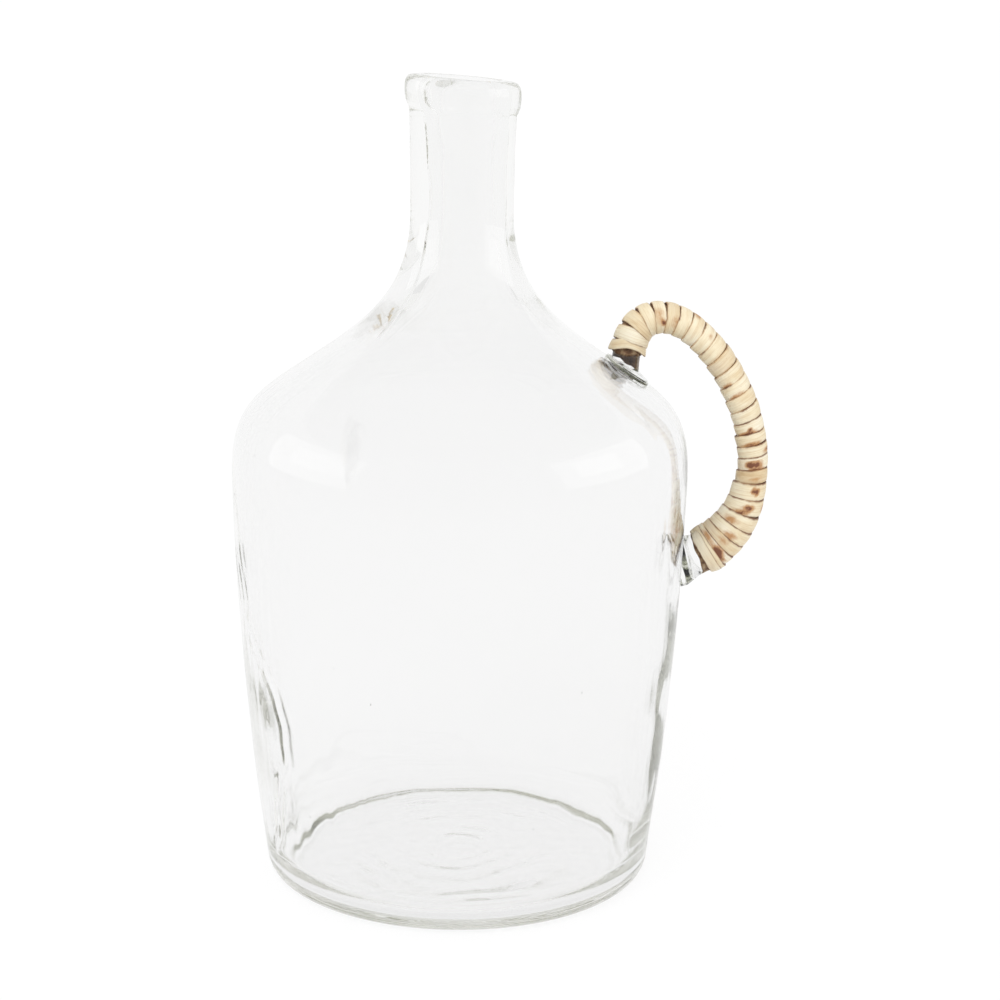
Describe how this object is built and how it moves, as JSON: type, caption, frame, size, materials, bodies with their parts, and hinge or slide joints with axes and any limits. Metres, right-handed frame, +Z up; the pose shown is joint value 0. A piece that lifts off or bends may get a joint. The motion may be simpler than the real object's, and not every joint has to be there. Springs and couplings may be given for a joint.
{
  "type": "glass jug",
  "caption": "Large clear glass jug with a tall narrow neck, sloping lip, flat base and an arched glass handle wound with flat rattan cane.",
  "frame": {"origin": "centre of the flat underside, on the surface the jug stands on", "axes": "+Z up along the jug's axis, +X towards the handle, +Y completes the right-handed frame"},
  "size_m": [0.253, 0.2144, 0.3797],
  "materials": {
    "clear_glass": "clear, faintly grey-green, with slight waves and a few seeds, gloss",
    "rattan": "split cane, pale cream to tan with brown scars, satin",
    "brown_lining": "dark brown glued paper lining, matt"
  },
  "bodies": {
    "root": {"blown_body": "clear_glass", "lip_ring": "clear_glass", "handle_rod": "clear_glass", "upper_pad": "clear_glass", "lower_pad": "clear_glass", "handle_lining": "brown_lining", "cane_strip_upper": "rattan", "cane_strip_middle": "rattan", "cane_strip_lower": "rattan"}
  },
  "joints": []
}
